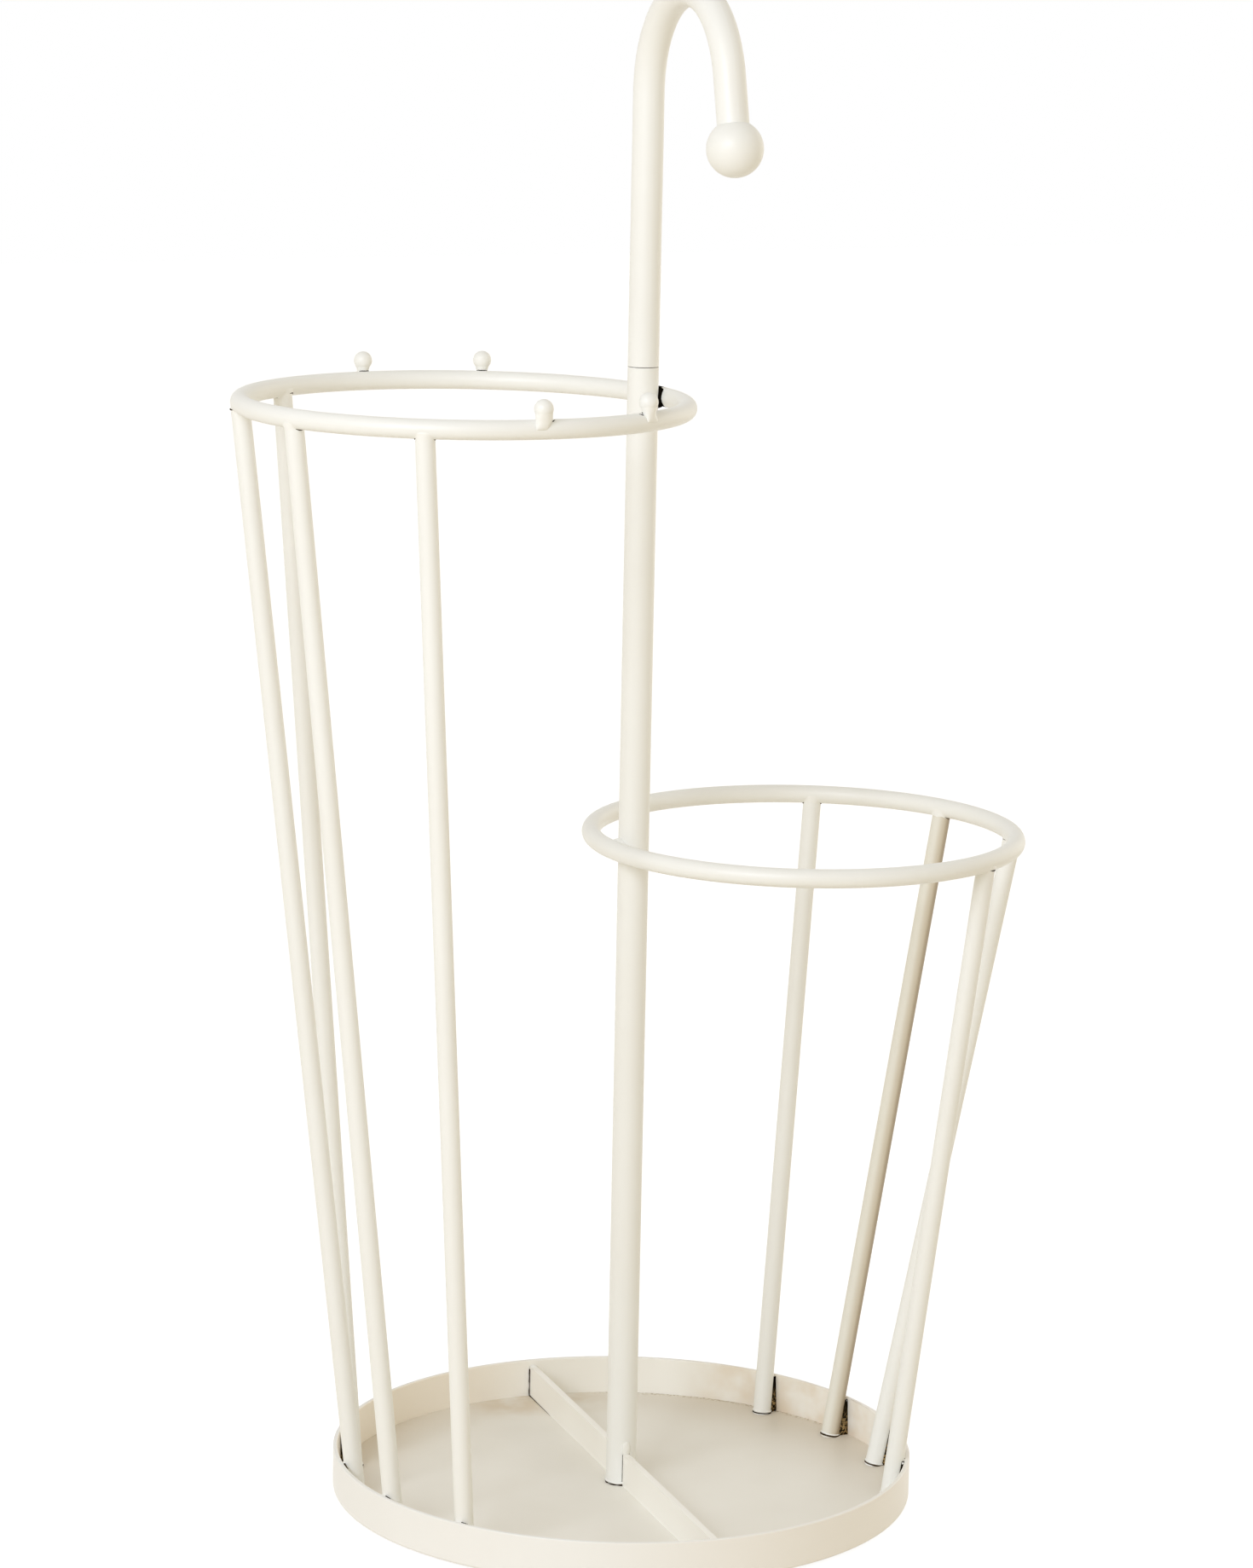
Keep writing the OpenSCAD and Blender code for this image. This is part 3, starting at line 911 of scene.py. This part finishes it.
def peg_fillet(beads, lines, mid, out, across, number):
    """Small fillet round the neck where it meets the bar, and a dark line round its inner side."""
    seed = number + SEEDS["peg_fillet"]
    rows, path, radii = [], [], []
    for k, (cosine, sine) in enumerate(around(PEG_SECTIONS)):
        side = out * cosine + across * sine
        corner = peg_corner(mid, side)
        up = (UP + side * PEG_SLOPE).normalized()
        normal = (side - UP * PEG_SLOPE).normalized()
        ragged = 1 + 0.2 * wobble(seed, cosine * 2, sine * 2)
        on_bar, bar_normal = TALL_RING.on(corner)
        step = (side - bar_normal * side.dot(bar_normal)).normalized()
        lower, lower_normal = TALL_RING.on(on_bar + step * 0.35 * ragged * MM)
        upper = corner + up * 0.40 * ragged * MM
        rows.append(fillet_loop(upper, normal, corner, lower, lower_normal, seed, k * 0.4 * 1.9, PEG_SWELL))
        if cosine < INNER_SIDE:
            path.append(corner + (normal + bar_normal).normalized() * 0.14 * MM)
            radius = 0.10 + 0.13 * min(1, (INNER_SIDE - cosine) * 3)
            radii.append(radius * (1 + 0.5 * wobble(number + SEEDS["peg_line"], sine * 6)) * MM)
    beads.loops(rows, True)
    lines.tube(path, radii)


def peg_mark(build, peg, bar, out, across):
    """Short dark line beside the neck along the top of the bar."""
    path = []
    for k in range(len(MARK_RADII)):
        sideways = peg["mark"] * (peg["neck"] + 0.2 + 0.28 * k)
        spot = bar + (out * (2.2 - 0.25 * k) + across * sideways) * MM
        off_core = (spot - TALL_RING.core(spot)).length
        rise = math.sqrt(max(0.0, TALL_RING.bar ** 2 - off_core ** 2))
        path.append(spot + UP * (rise + 0.02 * MM))
    build.tube(path, [radius * MM for radius in MARK_RADII])


def weld_pegs():
    beads = Build("peg_beads", BEAD, "handle_paint")
    lines = Build("peg_lines", BLACK, "bare_weld")
    for i, peg in PEGS.items():
        low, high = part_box("peg_%d" % i)
        mid = (low + high) / 2
        bar = TALL_RING.core(mid)
        out = Vector((mid.x - TALL_RING.mid.x, mid.y - TALL_RING.mid.y, 0)).normalized()
        across = UP.cross(out)
        peg_skin(beads, peg, bar, out, across, i + SEEDS["peg_skin"])
        peg_fillet(beads, lines, mid, out, across, i)
        if peg["mark"]:
            peg_mark(lines, peg, bar, out, across)
    beads.make()
    lines.make()


# ---------------------------------------------------------------- divider
LINE_OUT = 0.10 * MM            # how far a dark line's middle stands out of a surface
END_STEPS = 11
WEAK = 0.45                     # share of their radius that the lines keep where they hardly show

# the line along the divider's base: distance from its end and radius, in mm
BASE_LINE = ((0, 0.30), (1, 0.30), (3, 0.22), (6, 0.16), (9, 0.14), (13, 0.12), (18, 0.10), (24, 0.07),
             (30, 0.03))


def end_lines(build, tip, way, face):
    """Dark line of painted shade in the gap down the divider's corner with the rim, and one along its base,
    on one face.
    """
    foot = FACE * face * (BAR_HALF + LINE_OUT)
    strong = 1.0 if way * face > 0 else WEAK
    path, radii = [], []
    for k in range(END_STEPS + 1):
        rise = FLOOR_Z + 0.3 * MM + (BAR_TOP - FLOOR_Z - 1.6 * MM) * k / END_STEPS
        path.append(tip + foot * (1 + 0.08 * wobble(face + SEEDS["end_path"], k * 0.9)) + UP * rise)
        radii.append(strong * (0.34 + 0.18 * wobble(face + way + SEEDS["end_line"], k * 0.8)) * MM)
    build.tube(path, radii, normal=RUN)
    path = [tip - RUN * way * back * MM + foot + UP * (FLOOR_Z + 0.12 * MM) for back, _ in BASE_LINE]
    build.tube(path, [strong * radius * MM for _, radius in BASE_LINE])


def weld_divider():
    """Dark lines of painted shade at both ends of the divider, and a bump of weld on top of each."""
    beads = Build("divider_end_beads", BEAD, "tray_paint")
    lines = Build("divider_end_lines", BROWN, "bare_weld")
    for way in (-1, 1):
        tip = RUN * way * (BAR_LEN - 0.15 * MM)
        for face in (-1, 1):
            end_lines(lines, tip, way, face)
        top = tip - RUN * way * 0.4 * MM + UP * (BAR_TOP - 0.1 * MM)
        axes = (FACE * 1.9 * MM, RUN * 1.5 * MM, UP * 0.8 * MM)
        beads.blob(top, axes, way + SEEDS["end_bead"], rough=0.22)
    beads.make()
    lines.make()


# ---------------------------------------------------------------- post
POST_SECTIONS = 72
SLOT_STEPS = 9
STRETCH_STEPS = 14
STRETCH_SECTIONS = 40
STRETCH_START, STRETCH_SWEEP = -1.6, 8.2   # degrees round the ring from its +X side
STRETCH_SLANT, STRETCH_BULGE = 1.7, 2.6    # degrees by which the edge at the start slants and bulges


def post_foot(beads, gaps):
    """Bead of paint round the post's foot and the dark line under it, painted shadow under the post's end.
    """
    path, radii = [], []
    for cosine, sine in around(POST_SECTIONS):
        rise = (1.15 + 0.5 * wobble(SEEDS["post_height"], cosine * 2, sine * 2)) * MM
        path.append(Vector((cosine, sine, 0)) * (POST_R + 0.02 * MM) + UP * (FLOOR_Z + rise))
        radii.append((0.45 + 0.15 * wobble(SEEDS["post_bead"], cosine * 3, sine * 3)) * MM)
    beads.tube(path, radii, sides=10, closed=True)
    path, radii = [], []
    for cosine, sine in around(POST_SECTIONS):
        spot = Vector((cosine, sine, 0)) * (POST_R + LINE_OUT) + UP * (FLOOR_Z + 0.30 * MM)
        path.append(spot)
        radii.append((0.27 + 0.24 * wobble(SEEDS["post_gap"], spot.x * 500, spot.y * 500)) * MM)
    gaps.tube(path, radii, closed=True)


def post_slot(beads, gaps, way):
    """Where the divider comes out of the post: a bead over it, and a dark line of painted shade down each
    corner.
    """
    run = RUN * way
    touch = run * (POST_R - 0.20 * MM) + UP * (BAR_TOP + 2.6 * MM)
    axes = (FACE * 1.9 * MM, run * 1.0 * MM, UP * 3.4 * MM)
    beads.blob(touch, axes, way + SEEDS["slot_bead"], rough=0.16, rows=12, sides=18)
    across = BAR_HALF + LINE_OUT
    out = math.sqrt(POST_R ** 2 - across ** 2) + LINE_OUT
    for face in (-1, 1):
        path, radii = [], []
        for k in range(SLOT_STEPS + 1):
            rise = FLOOR_Z + (BAR_TOP - FLOOR_Z) * k / SLOT_STEPS
            path.append(FACE * face * across + run * out + UP * rise)
            radii.append((0.12 + 0.08 * wobble(face + SEEDS["slot_line"], k * 0.7)) * MM)
        gaps.tube(path, radii, normal=run)


def pinhole(build):
    """Dark pinhole at the end of the short ring's weld."""
    weld_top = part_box("short_ring_weld")[1].z
    spot = view_dir(-52, 0) * (POST_R + 0.2 * MM) + UP * (weld_top - 1.2 * MM)
    axes = (RIGHT * 0.62 * MM, UP * 0.42 * MM, view_dir(0, 0) * 0.30 * MM)
    build.blob(spot, axes, SEEDS["pinhole"], rows=6, sides=10)


def black_stretch():
    """The tall ring's black stretch, a black sleeve over the bar, where it passes behind the post."""
    rows = []
    for k in range(STRETCH_STEPS + 1):
        t = k / STRETCH_STEPS
        row = []
        for cosine, sine in around(STRETCH_SECTIONS):
            shift = STRETCH_SLANT * sine * (1 - t) + STRETCH_BULGE * (sine * sine - 0.5) * (1 - t) ** 2
            angle = math.radians(STRETCH_START + STRETCH_SWEEP * t + shift)
            out = Vector((math.cos(angle), math.sin(angle), 0))
            uneven = 0.06 + 0.04 * wobble(SEEDS["black_stretch"], k * 0.8, cosine * 2, sine * 2)
            bar = TALL_RING.bar + uneven * MM
            row.append(TALL_RING.mid + out * (TALL_RING.r + cosine * bar) + UP * sine * bar)
        rows.append(row)
    sleeve = Build("black_stretch", BLACK, "bare_weld")
    sleeve.loops(rows, False)
    sleeve.make()


def weld_post():
    beads = Build("post_beads", BEAD, "frame_paint")
    gaps = Build("post_gap", BROWN, "bare_weld")
    post_foot(beads, gaps)
    for way in (-1, 1):
        post_slot(beads, gaps, way)
    pinhole(gaps)
    beads.make()
    gaps.make()


weld_rod_tops()
weld_rod_feet()
weld_pegs()
weld_divider()
black_stretch()
weld_post()
